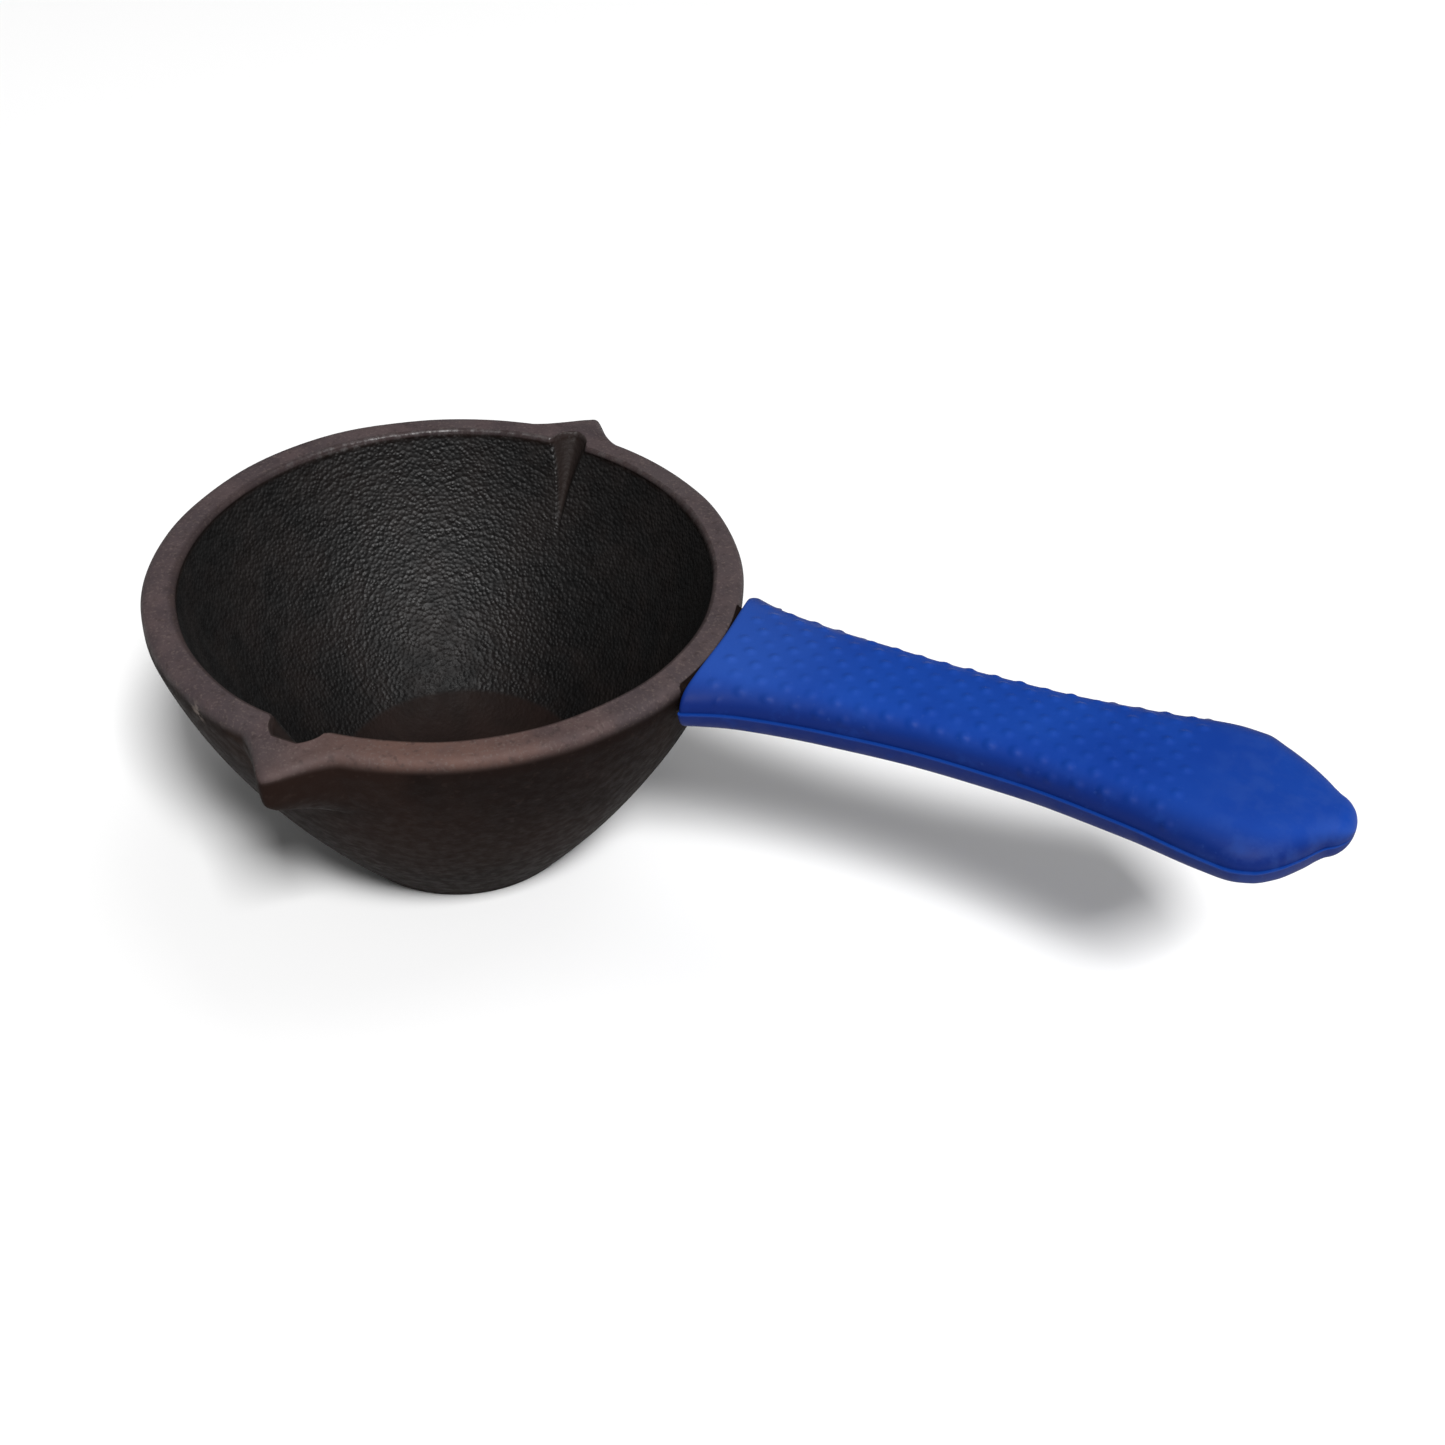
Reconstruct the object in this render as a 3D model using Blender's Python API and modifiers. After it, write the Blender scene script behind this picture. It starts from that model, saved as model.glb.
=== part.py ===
"""Candle melting pot: a small cast-iron saucepan with two pouring spouts and an integral handle tang,
and the silicone sleeve that pulls over the tang.

Frame: metres, +Z up. The origin is the centre of the base's flat underside. +X runs along the
handle, and the two spouts point along +Y and -Y. The object is symmetric about the XZ plane.
"""

from math import cos, pi, sin, sqrt

import bmesh
import bpy
import numpy as np

MM = 0.001

# Bowl
HEIGHT = 66.2 * MM  # rim top above the flat underside
RIM_RADIUS = 60.1 * MM  # outside of the rolled rim
RIM_INNER_RADIUS = 54.0 * MM  # mouth
RIM_EDGE_RADIUS = 2.6 * MM  # rounding of the rim's outer edge
RIM_INNER_EDGE = 0.8 * MM  # rounding of the mouth's edge
WALL_TOP_RADIUS = 59.8 * MM  # outer wall where it leaves the rim's rounding
WALL_TOP_DEPTH = 5.4 * MM  # below the rim top
WALL_BEND_RADIUS = 51.8 * MM  # where the outer wall's end tangents meet
WALL_BEND_DEPTH = 33.2 * MM
WALL_FOOT_RADIUS = 27.2 * MM  # outer wall where the corner to the underside starts
WALL_FOOT_HEIGHT = 2.6 * MM
BASE_RADIUS = 25.0 * MM  # flat underside
INNER_BEND_RADIUS = 45.4 * MM  # the same for the inner wall
INNER_BEND_DEPTH = 34.3 * MM
FLOOR_EDGE_RADIUS = 26.4 * MM  # inner wall where it starts to turn into the floor
FLOOR_EDGE_DEPTH = 51.6 * MM
FLOOR_DEPTH = 57.2 * MM  # flat floor inside, below the rim top
FLOOR_FLAT_RADIUS = 12.0 * MM

# Spouts: a prow on the outside, a groove on the inside
SPOUT_TIP_RADIUS = 68.9 * MM  # from the bowl's axis to the tip
SPOUT_HALF_WIDTH = 10.5 * MM  # where the prow's flanks run into the wall
SPOUT_STRAIGHT_DEPTH = 8.2 * MM  # the prow's front stands upright down to here
SPOUT_DEPTH = 17.5 * MM  # and has run back into the wall here
SPOUT_FLANK_POWER = 1.5  # above 1, the flanks are hollow
GROOVE_MOUTH_RADIUS = 5.0 * MM  # of the leaning cone that cuts the groove, at the rim
GROOVE_CENTRE_RADIUS = 54.8 * MM  # of the cone's axis at the rim, from the bowl's axis
GROOVE_DEPTH = 26.5 * MM  # the cone's point, below the rim
GROOVE_POINT_RADIUS = 44.8 * MM

# Tang: the flat iron bar inside the sleeve, cast in one with the bowl
TANG_THICKNESS = 6.4 * MM
TANG_MIDDLE_DEPTH = 3.8 * MM  # its middle plane, below the rim top
TANG_START = 50.0 * MM  # buried in the bowl's wall
TANG_END = 174.0 * MM
TANG_EDGE = 1.6 * MM
TANG_HALF_WIDTHS = (  # distance from the bowl's axis, half-width: never wider outward
    (50.0 * MM, 17.5 * MM),
    (60.0 * MM, 14.2 * MM),
    (72.0 * MM, 11.2 * MM),
    (96.0 * MM, 8.9 * MM),
    (110.0 * MM, 8.6 * MM),
)

# Sleeve
FIT_GAP = 0.35 * MM  # between the sleeve and the iron, all round
SLEEVE_TOP = 2.6 * MM  # crown above the rim top
SLEEVE_SEAM_DEPTH = 3.7 * MM  # parting line, below the rim top
SLEEVE_BOTTOM_DEPTH = 9.3 * MM
SLEEVE_TIP = 183.6 * MM
SLEEVE_MOUTH_PLACE = 60.7 * MM  # the open end's middle, from the bowl's axis
SLEEVE_MOUTH_RADIUS = 100.0 * MM  # the open end is an arc, flatter than the rim
SEAM_STEP = 0.4 * MM  # the lower half stands this proud at the parting line
SLEEVE_HALF_WIDTHS = (  # at the parting line
    (48.0 * MM, 25.0 * MM),
    (60.0 * MM, 19.2 * MM),
    (71.0 * MM, 15.0 * MM),
    (86.0 * MM, 12.6 * MM),
    (106.0 * MM, 11.3 * MM),
    (124.0 * MM, 12.0 * MM),
    (145.0 * MM, 15.0 * MM),
    (163.0 * MM, 18.1 * MM),
    (168.0 * MM, 17.3 * MM),
    (173.0 * MM, 14.0 * MM),
    (177.0 * MM, 9.7 * MM),
    (180.5 * MM, 5.5 * MM),
    (183.0 * MM, 2.9 * MM),
)
CROWN_ROUNDNESS = (  # 1 is an ellipse over the parting line, lower is boxier
    (58.0 * MM, 1.0),
    (72.0 * MM, 0.72),
    (96.0 * MM, 0.5),
    (158.0 * MM, 0.5),
    (168.0 * MM, 0.72),
    (178.0 * MM, 0.9),
)

STEPS = 80  # facets round the bowl


def clear_scene():
    for thing in list(bpy.data.objects):
        bpy.data.objects.remove(thing, do_unlink=True)


def new_collection(name):
    made = bpy.data.collections.new(name)
    bpy.context.scene.collection.children.link(made)
    return made


def metal(name, colour, metallic, roughness):
    made = bpy.data.materials.new(name)
    made.use_nodes = True
    shader = made.node_tree.nodes["Principled BSDF"]
    shader.inputs["Base Color"].default_value = (*colour, 1.0)
    shader.inputs["Metallic"].default_value = metallic
    shader.inputs["Roughness"].default_value = roughness
    return made


def new_object(name, mesh, collection, material=None):
    made = bpy.data.objects.new(name, mesh)
    collection.objects.link(made)
    if material:
        mesh.materials.append(material)
    return made


def as_cutter(made):
    made.hide_render = True
    made.display_type = "WIRE"
    return made


def bend(start, corner, end, count):
    """Points along the quadratic curve from start to end whose end tangents meet at corner."""
    points = []
    for i in range(count + 1):
        t = i / count
        a, b, c = (1 - t) ** 2, 2 * t * (1 - t), t * t
        points.append(
            (
                a * start[0] + b * corner[0] + c * end[0],
                a * start[1] + b * corner[1] + c * end[1],
            )
        )
    return points


def through(stations):
    """A smooth function through (place, value) stations that never overshoots between them."""
    xs, ys = (np.array(column, float) for column in zip(*stations))
    gap = np.diff(xs)
    slope = np.diff(ys) / gap
    tangent = np.zeros(len(xs))
    same = slope[:-1] * slope[1:] > 0
    total = np.where(same, slope[:-1] + slope[1:], 1.0)
    tangent[1:-1] = np.where(same, 2 * slope[:-1] * slope[1:] / total, 0.0)
    tangent[0], tangent[-1] = slope[0], slope[-1]

    def value(x):
        i = int(np.clip(np.searchsorted(xs, x) - 1, 0, len(gap) - 1))
        t = min(max((x - xs[i]) / gap[i], 0.0), 1.0)
        return float(
            (1 + 2 * t) * (1 - t) ** 2 * ys[i]
            + t * (1 - t) ** 2 * gap[i] * tangent[i]
            + t * t * (3 - 2 * t) * ys[i + 1]
            + t * t * (t - 1) * gap[i] * tangent[i + 1]
        )

    return value


def at_depth(points):
    """(radius, depth below the rim top) to (radius, height)."""
    return [(r, HEIGHT - d) for r, d in points]


def outer_profile():
    """The bowl's outside, from the axis at the rim's top down to the underside's centre."""
    e = RIM_EDGE_RADIUS
    edge = bend(
        (RIM_RADIUS - e, 0.0), (RIM_RADIUS, 0.0), (RIM_RADIUS, e), 4
    )  # rolled outer edge of the rim
    wall = bend(
        (WALL_TOP_RADIUS, WALL_TOP_DEPTH),
        (WALL_BEND_RADIUS, WALL_BEND_DEPTH),
        (WALL_FOOT_RADIUS, HEIGHT - WALL_FOOT_HEIGHT),
        10,
    )
    foot = bend(
        (WALL_FOOT_RADIUS, HEIGHT - WALL_FOOT_HEIGHT),
        (BASE_RADIUS + 0.4 * MM, HEIGHT - 0.1 * MM),
        (BASE_RADIUS, HEIGHT),
        3,
    )
    return at_depth([(0.0, 0.0)] + edge + wall + foot[1:] + [(0.0, HEIGHT)])


def inner_profile():
    """The hollow, from above the rim down to the floor's centre."""
    e = RIM_INNER_EDGE
    lip = bend((RIM_INNER_RADIUS + e, 0.0), (RIM_INNER_RADIUS, 0.0), (RIM_INNER_RADIUS - 0.2 * e, e), 2)
    wall = bend(
        (RIM_INNER_RADIUS - 0.2 * e, e),
        (INNER_BEND_RADIUS, INNER_BEND_DEPTH),
        (FLOOR_EDGE_RADIUS, FLOOR_EDGE_DEPTH),
        9,
    )
    turn = FLOOR_EDGE_RADIUS - 1.15 * (FLOOR_DEPTH - FLOOR_EDGE_DEPTH)
    floor = bend(
        (FLOOR_EDGE_RADIUS, FLOOR_EDGE_DEPTH),
        (turn, FLOOR_DEPTH),
        (FLOOR_FLAT_RADIUS, FLOOR_DEPTH),
        4,
    )
    above = [(0.0, -4.0 * MM), (RIM_INNER_RADIUS + e, -4.0 * MM)]
    return at_depth(above + lip + wall[1:] + floor[1:] + [(0.0, FLOOR_DEPTH)])


def turned(name, profile, collection, steps, material=None):
    mesh = bpy.data.meshes.new(name)
    mesh.from_pydata(
        [(r, 0.0, z) for r, z in profile],
        [(i, i + 1) for i in range(len(profile) - 1)],
        [],
    )
    made = new_object(name, mesh, collection, material)
    screw = made.modifiers.new("Turn", "SCREW")
    screw.axis = "Z"
    screw.angle = 2 * pi
    screw.steps = steps
    screw.render_steps = steps
    screw.use_merge_vertices = True
    screw.merge_threshold = 0.00001
    screw.use_smooth_shade = True
    return made


def loft(name, rings, collection, material=None):
    """A closed solid through rings of equally many points, with a flat cap at each end."""
    mesh = bpy.data.meshes.new(name)
    shape = bmesh.new()
    made = [[shape.verts.new(point) for point in ring] for ring in rings]
    for a, b in zip(made, made[1:]):
        for i in range(len(a)):
            j = (i + 1) % len(a)
            shape.faces.new((a[i], a[j], b[j], b[i]))
    shape.faces.new(made[0])
    shape.faces.new(list(reversed(made[-1])))
    bmesh.ops.recalc_face_normals(shape, faces=shape.faces)
    shape.to_mesh(mesh)
    shape.free()
    for face in mesh.polygons:
        face.use_smooth = True
    mesh.set_sharp_from_angle(angle=0.7)
    return new_object(name, mesh, collection, material)


def wall_radius(depth):
    """The bowl's outer radius at a depth, read off its own profile."""
    rim = [(r, HEIGHT - z) for r, z in outer_profile()[1:-1]]
    for (r0, d0), (r1, d1) in zip(rim, rim[1:]):
        if d1 > d0 and d0 <= depth <= d1:
            return r0 + (r1 - r0) * (depth - d0) / (d1 - d0)
    return rim[-1][0]


def spout_prow(name, side, collection):
    """The prow outside one spout: plan sections stacked from the rim down, hollow-flanked and
    pointed at the top, shrinking back into the wall at the bottom. side is +1 or -1 along Y."""
    tip_at = through(
        (
            (0.0, SPOUT_TIP_RADIUS - 4.6 * MM),
            (0.5 * MM, SPOUT_TIP_RADIUS - 2.3 * MM),
            (1.2 * MM, SPOUT_TIP_RADIUS - 0.9 * MM),
            (2.4 * MM, SPOUT_TIP_RADIUS),
            (SPOUT_STRAIGHT_DEPTH, SPOUT_TIP_RADIUS - 0.9 * MM),
            (SPOUT_STRAIGHT_DEPTH + 2.6 * MM, SPOUT_TIP_RADIUS - 2.9 * MM),
            (SPOUT_STRAIGHT_DEPTH + 5.6 * MM, SPOUT_TIP_RADIUS - 6.8 * MM),
            (SPOUT_DEPTH, wall_radius(SPOUT_DEPTH) - 1.0 * MM),
        )
    )
    levels = [0.0, 0.5, 1.2, 2.4, 5.0, 8.2, 10.0, 11.6, 13.2, 15.0, 17.5]
    count = 9
    rings = []
    for level in levels:
        depth = level * MM
        base = wall_radius(max(depth, 0.3 * MM)) - 0.6 * MM
        tip = tip_at(depth)
        ring = []
        for i in range(-count, count + 1):
            u = i / count
            x = SPOUT_HALF_WIDTH * (abs(u) ** 1.25) * (1 if u > 0 else -1)
            share = abs(x) / SPOUT_HALF_WIDTH
            bulge = (1 - sqrt(share * share + 0.004) / sqrt(1.004)) ** SPOUT_FLANK_POWER
            bulge /= (1 - sqrt(0.004) / sqrt(1.004)) ** SPOUT_FLANK_POWER
            y = sqrt(max(base * base - x * x, 0.0)) + (tip - base) * max(bulge, 0.0)
            ring.append((x, side * y, HEIGHT - depth))
        back = 51.5 * MM
        ring.append((SPOUT_HALF_WIDTH * 0.9, side * back, HEIGHT - depth))
        ring.append((-SPOUT_HALF_WIDTH * 0.9, side * back, HEIGHT - depth))
        rings.append(ring)
    return as_cutter(loft(name, rings, collection))


def spout_groove(name, side, collection):
    """The leaning cone that cuts one spout's groove: widest at the rim, its point in the wall."""
    rise = 4.0 * MM
    spread = GROOVE_MOUTH_RADIUS / GROOVE_DEPTH
    lean = (GROOVE_CENTRE_RADIUS - GROOVE_POINT_RADIUS) / GROOVE_DEPTH
    rings = []
    for depth in (-rise, 0.0, GROOVE_DEPTH * 0.35, GROOVE_DEPTH * 0.7, GROOVE_DEPTH * 0.96):
        left = GROOVE_DEPTH - depth
        radius = spread * left
        centre = GROOVE_POINT_RADIUS + lean * left
        rings.append(
            [
                (radius * cos(a), side * (centre + radius * sin(a)), HEIGHT - depth)
                for a in (2 * pi * k / 20 for k in range(20))
            ]
        )
    return as_cutter(loft(name, rings, collection))


def tang_half_width(x):
    taper = through(TANG_HALF_WIDTHS)
    full = TANG_HALF_WIDTHS[-1][1]
    centre = TANG_END - full
    if x <= TANG_HALF_WIDTHS[-1][0]:
        return taper(x)
    if x <= centre:
        return full
    return sqrt(max(full * full - (x - centre) ** 2, 0.0))


def bar(name, grow, start, collection):
    """The tang's solid, made bigger all round by grow: a flat outline with rounded edges."""
    full = TANG_HALF_WIDTHS[-1][1]
    centre = TANG_END - full
    straight = [start + (110.0 * MM - start) * k / 9 for k in range(10)] + [centre]
    side = [(x, tang_half_width(x) + grow) for x in straight]
    nose = [
        (centre + (full + grow) * sin(a), (full + grow) * cos(a))
        for a in (pi / 2 * k / 7 for k in range(1, 8))
    ]
    half = side + nose[:-1]
    outline = half + [(TANG_END + grow, 0.0)] + [(x, -y) for x, y in reversed(half)]
    mesh = bpy.data.meshes.new(name)
    shape = bmesh.new()
    low = HEIGHT - TANG_MIDDLE_DEPTH - TANG_THICKNESS / 2 - grow
    face = shape.faces.new([shape.verts.new((x, y, low)) for x, y in outline])
    top = bmesh.ops.extrude_face_region(shape, geom=[face])["geom"]
    bmesh.ops.translate(
        shape,
        verts=[v for v in top if isinstance(v, bmesh.types.BMVert)],
        vec=(0.0, 0.0, TANG_THICKNESS + 2 * grow),
    )
    bmesh.ops.recalc_face_normals(shape, faces=shape.faces)
    shape.to_mesh(mesh)
    shape.free()
    made = new_object(name, mesh, collection)
    edges = made.modifiers.new("Rounded edges", "BEVEL")
    edges.width = TANG_EDGE
    edges.segments = 2
    edges.limit_method = "ANGLE"
    edges.angle_limit = 1.0
    return as_cutter(made)


def sleeve_solid(name, collection, material):
    """The sleeve's outside, before its cavity: a crowned upper half over a slightly prouder
    lower half with slanted flanks, swelling to a palm stop and ending in a small nub."""
    half_width = through(SLEEVE_HALF_WIDTHS)
    first, last = SLEEVE_HALF_WIDTHS[0][0], SLEEVE_HALF_WIDTHS[-1][0]
    places = [first + (160.0 * MM - first) * k / 26 for k in range(26)]
    places += [160.0 * MM + (last - 160.0 * MM) * k / 11 for k in range(12)]
    places.append(SLEEVE_TIP)
    crown_at = through(
        ((first, SLEEVE_TOP), (150.0 * MM, SLEEVE_TOP), (176.0 * MM, 1.5 * MM), (182.0 * MM, -0.6 * MM), (SLEEVE_TIP, -2.4 * MM))
    )
    bottom_at = through(
        (
            (first, SLEEVE_BOTTOM_DEPTH),
            (164.0 * MM, SLEEVE_BOTTOM_DEPTH),
            (176.0 * MM, 8.3 * MM),
            (181.0 * MM, 6.6 * MM),
            (SLEEVE_TIP, 4.8 * MM),
        )
    )
    roundness = through(CROWN_ROUNDNESS)
    rings = []
    for x in places:
        power = roundness(x)
        w = half_width(x) if x < SLEEVE_TIP else 0.9 * MM
        top, seam, low = crown_at(x), -SLEEVE_SEAM_DEPTH, -bottom_at(x)
        step = SEAM_STEP * min(1.0, w / (6.0 * MM))
        upper = []
        for k in range(0, 10):
            a = pi * k / 9
            c, s = cos(a), sin(a)
            upper.append(
                (
                    (1 if c > 0 else -1) * w * abs(c) ** power if abs(c) > 1e-9 else 0.0,
                    seam + (top - seam) * s**0.75 if s > 1e-9 else seam,
                )
            )
        lower = []
        for y, z in (
            (-1.0, 0.10),
            (-0.95, 0.55),
            (-0.88, 0.86),
            (-0.76, 1.0),
            (0.76, 1.0),
            (0.88, 0.86),
            (0.95, 0.55),
            (1.0, 0.10),
        ):
            lower.append((y * (w + step), seam + (low - seam) * z))
        rings.append([(x, y, HEIGHT + z) for y, z in upper + lower])
    return loft(name, rings, collection, material)


def boolean(target, other, operation, name):
    made = target.modifiers.new(name, "BOOLEAN")
    made.operation = operation
    made.object = other


def main():
    clear_scene()
    parts = new_collection("candle_melting_pot")
    cutters = new_collection("cutters")
    cutters.hide_render = True
    iron = metal("seasoned_cast_iron", (0.022, 0.016, 0.015), 0.0, 0.62)
    blue = metal("blue_silicone", (0.010, 0.050, 0.290), 0.0, 0.48)

    pot = turned("cast_iron_pot", outer_profile(), parts, STEPS, iron)
    for side, word in ((1, "far"), (-1, "near")):
        boolean(pot, spout_prow(f"prow_{word}", side, cutters), "UNION", f"Prow {word}")
    boolean(pot, bar("tang_bar", 0.0, TANG_START, cutters), "UNION", "Tang")
    hollow = as_cutter(turned("hollow", inner_profile(), cutters, STEPS))
    boolean(pot, hollow, "DIFFERENCE", "Hollow")
    for side, word in ((1, "far"), (-1, "near")):
        boolean(pot, spout_groove(f"groove_{word}", side, cutters), "DIFFERENCE", f"Groove {word}")

    sleeve = sleeve_solid("silicone_handle_sleeve", parts, blue)
    cavity = bar("sleeve_cavity", FIT_GAP, TANG_START - 4.0 * MM, cutters)
    boolean(sleeve, cavity, "DIFFERENCE", "Cavity")
    mouth = as_cutter(
        turned(
            "sleeve_mouth_cutter",
            [
                (0.0, HEIGHT + 20.0 * MM),
                (SLEEVE_MOUTH_RADIUS, HEIGHT + 20.0 * MM),
                (SLEEVE_MOUTH_RADIUS, HEIGHT - 30.0 * MM),
                (0.0, HEIGHT - 30.0 * MM),
            ],
            cutters,
            160,
        )
    )
    mouth.location.x = SLEEVE_MOUTH_PLACE - SLEEVE_MOUTH_RADIUS
    boolean(sleeve, mouth, "DIFFERENCE", "Mouth arc")


main()
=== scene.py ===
from math import cos, pi, radians, sin, sqrt

import bpy
import numpy as np
from mathutils import Matrix


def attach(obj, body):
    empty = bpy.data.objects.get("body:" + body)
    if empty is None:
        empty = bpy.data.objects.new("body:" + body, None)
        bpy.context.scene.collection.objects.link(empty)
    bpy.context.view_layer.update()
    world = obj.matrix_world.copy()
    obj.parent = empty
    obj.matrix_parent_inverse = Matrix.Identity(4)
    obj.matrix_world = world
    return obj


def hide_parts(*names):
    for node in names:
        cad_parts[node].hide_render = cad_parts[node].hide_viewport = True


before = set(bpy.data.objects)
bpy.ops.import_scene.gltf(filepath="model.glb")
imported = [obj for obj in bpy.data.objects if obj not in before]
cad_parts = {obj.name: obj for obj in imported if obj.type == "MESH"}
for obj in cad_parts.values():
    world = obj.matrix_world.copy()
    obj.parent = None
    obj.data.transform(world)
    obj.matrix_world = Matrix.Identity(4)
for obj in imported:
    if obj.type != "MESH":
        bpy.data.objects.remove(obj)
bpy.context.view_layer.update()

MM = 0.001

# ---------------------------------------------------------------- shared dimensions (as in the CAD)
H = 66.2  # rim top above the underside, all lengths here in millimetres
RIM_R, RIM_IN, RIM_EDGE, IN_EDGE = 60.1, 54.0, 2.6, 0.8
TIP_R, SPOUT_W, STRAIGHT, SPOUT_D = 68.9, 10.5, 8.2, 17.5
GROOVE_D = 26.5
NEAR_SPOUT = (-1.3, 5.6, 60.3)  # across place, half-width at the rim, how far out the notch reaches
FAR_SPOUT = (0.9, 3.9, 58.9)
TANG_T, TANG_MID, TANG_START, TANG_END = 6.4, 3.8, 50.0, 174.0
TANG_W = ((50.0, 17.5), (60.0, 14.2), (72.0, 11.2), (96.0, 8.9), (110.0, 8.6))
GAP = 0.35
SEAM = 3.7  # parting line below the rim top
TOP, BOTTOM = 2.6, 9.3
MOUTH_X, MOUTH_R = 60.75, 100.0
TIP_X = 183.6


def bend(a, b, c, n):
    t = np.linspace(0, 1, n + 1)[:, None]
    a, b, c = np.array(a, float), np.array(b, float), np.array(c, float)
    return (1 - t) ** 2 * a + 2 * t * (1 - t) * b + t * t * c


def through(stations):
    """A smooth function through (place, value) stations that never overshoots. Takes arrays."""
    xs, ys = (np.array(column, float) for column in zip(*stations))
    gap = np.diff(xs)
    slope = np.diff(ys) / gap
    tangent = np.zeros(len(xs))
    same = slope[:-1] * slope[1:] > 0
    total = np.where(same, slope[:-1] + slope[1:], 1.0)
    tangent[1:-1] = np.where(same, 2 * slope[:-1] * slope[1:] / total, 0.0)
    tangent[0], tangent[-1] = slope[0], slope[-1]

    def value(x):
        x = np.asarray(x, float)
        i = np.clip(np.searchsorted(xs, x) - 1, 0, len(gap) - 1)
        t = np.clip((x - xs[i]) / gap[i], 0.0, 1.0)
        return (
            (1 + 2 * t) * (1 - t) ** 2 * ys[i]
            + t * (1 - t) ** 2 * gap[i] * tangent[i]
            + t * t * (3 - 2 * t) * ys[i + 1]
            + t * t * (t - 1) * gap[i] * tangent[i + 1]
        )

    return value


def smooth(a, b, x):
    t = np.clip((np.asarray(x, float) - a) / (b - a), 0, 1)
    return t * t * (3 - 2 * t)


def resample(points, count, ends=True):
    """count points evenly spaced along a polyline."""
    points = np.asarray(points, float)
    step = np.sqrt((np.diff(points, axis=0) ** 2).sum(1))
    s = np.concatenate([[0], np.cumsum(step)])
    at = np.linspace(0, s[-1], count)
    return np.stack([np.interp(at, s, points[:, k]) for k in range(points.shape[1])], 1)


def hashed(ix, iy, iz, seed):
    """A repeatable number from 0 to 1 for each lattice point."""
    n = (
        ix.astype(np.int64) * 73856093
        ^ iy.astype(np.int64) * 19349663
        ^ iz.astype(np.int64) * 83492791
        ^ (seed * 2654435761 & 0x7FFFFFFF)
    ) & 0x7FFFFFFF
    n = (n ^ (n >> 13)) * 1274126177 & 0x7FFFFFFF
    n = (n ^ (n >> 16)) * 668265263 & 0x7FFFFFFF
    return ((n ^ (n >> 15)) & 0xFFFFFF) / float(0xFFFFFF)


def lattice_noise(p, seed):
    """Smooth noise from -1 to 1 over points p, with one lattice cell per unit."""
    base = np.floor(p).astype(np.int64)
    f = p - base
    f = f * f * f * (f * (f * 6 - 15) + 10)
    total = np.zeros(len(p))
    for dx in (0, 1):
        for dy in (0, 1):
            for dz in (0, 1):
                w = (
                    (f[:, 0] if dx else 1 - f[:, 0])
                    * (f[:, 1] if dy else 1 - f[:, 1])
                    * (f[:, 2] if dz else 1 - f[:, 2])
                )
                total += w * hashed(
                    base[:, 0] + dx, base[:, 1] + dy, base[:, 2] + dz, seed
                )
    return total * 2 - 1


def cell_bumps(p, seed):
    """Rounded bumps: high in the middle of each irregular cell, low between cells."""
    base = np.floor(p).astype(np.int64)
    best = np.full(len(p), 9.0)
    second = np.full(len(p), 9.0)
    for dx in (-1, 0, 1):
        for dy in (-1, 0, 1):
            for dz in (-1, 0, 1):
                i, j, k = base[:, 0] + dx, base[:, 1] + dy, base[:, 2] + dz
                d = np.sqrt(
                    (p[:, 0] - i - hashed(i, j, k, seed)) ** 2
                    + (p[:, 1] - j - hashed(i, j, k, seed + 7)) ** 2
                    + (p[:, 2] - k - hashed(i, j, k, seed + 13)) ** 2
                )
                nearer = d < best
                second = np.where(nearer, best, np.minimum(second, d))
                best = np.where(nearer, d, best)
    return np.clip(second - best, 0, 0.6) / 0.6


def grid_mesh(name, points, wrap, attributes=None, caps=True):
    """A closed mesh from an array of rings (ring, point, 3) in millimetres. wrap is not used; each ring is always
    closed.
    """
    rings, count = points.shape[:2]
    v = (points.reshape(-1, 3) * MM).astype(np.float32)
    i = np.arange(rings - 1)[:, None] * count
    j = np.arange(count)[None, :]
    k = (j + 1) % count
    quads = np.stack([i + j, i + k, i + count + k, i + count + j], -1).reshape(-1, 4)
    faces = quads.tolist()
    if caps:
        faces.append(list(range(count))[::-1])
        faces.append([(rings - 1) * count + n for n in range(count)])
    mesh = bpy.data.meshes.new(name)
    mesh.from_pydata(v.tolist(), [], faces)
    mesh.update()
    for key, values in (attributes or {}).items():
        made = mesh.attributes.new(key, "FLOAT", "POINT")
        made.data.foreach_set("value", np.asarray(values, np.float32).ravel())
    mesh.polygons.foreach_set("use_smooth", [True] * len(mesh.polygons))
    obj = bpy.data.objects.new(name, mesh)
    bpy.context.scene.collection.objects.link(obj)
    return obj


def volume_of(obj):
    mesh = obj.data
    mesh.calc_loop_triangles()
    co = np.empty(len(mesh.vertices) * 3)
    mesh.vertices.foreach_get("co", co)
    tri = np.empty(len(mesh.loop_triangles) * 3, np.int32)
    mesh.loop_triangles.foreach_get("vertices", tri)
    p = co.reshape(-1, 3)[tri.reshape(-1, 3)]
    return float(np.einsum("ij,ij->i", p[:, 0], np.cross(p[:, 1], p[:, 2])).sum() / 6)


def face_out(obj):
    if volume_of(obj) < 0:
        obj.data.flip_normals()
    return obj


def carve(target, other, operation):
    """Joins or cuts two closed meshes, applies it, and removes the second object."""
    made = target.modifiers.new("join", "BOOLEAN")
    made.solver = "MANIFOLD"
    made.operation = operation
    made.object = other
    bpy.context.view_layer.update()
    graph = bpy.context.evaluated_depsgraph_get()
    mesh = bpy.data.meshes.new_from_object(
        target.evaluated_get(graph), preserve_all_data_layers=True, depsgraph=graph
    )
    target.modifiers.clear()
    old = target.data
    target.data = mesh
    bpy.data.meshes.remove(old)
    bpy.data.objects.remove(other)
    mesh.name = target.name
    return target


# ---------------------------------------------------------------- the casting's profile
def wall_curve(n):
    return bend((59.8, 5.4), (51.8, 33.2), (27.2, H - 2.6), n)


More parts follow.
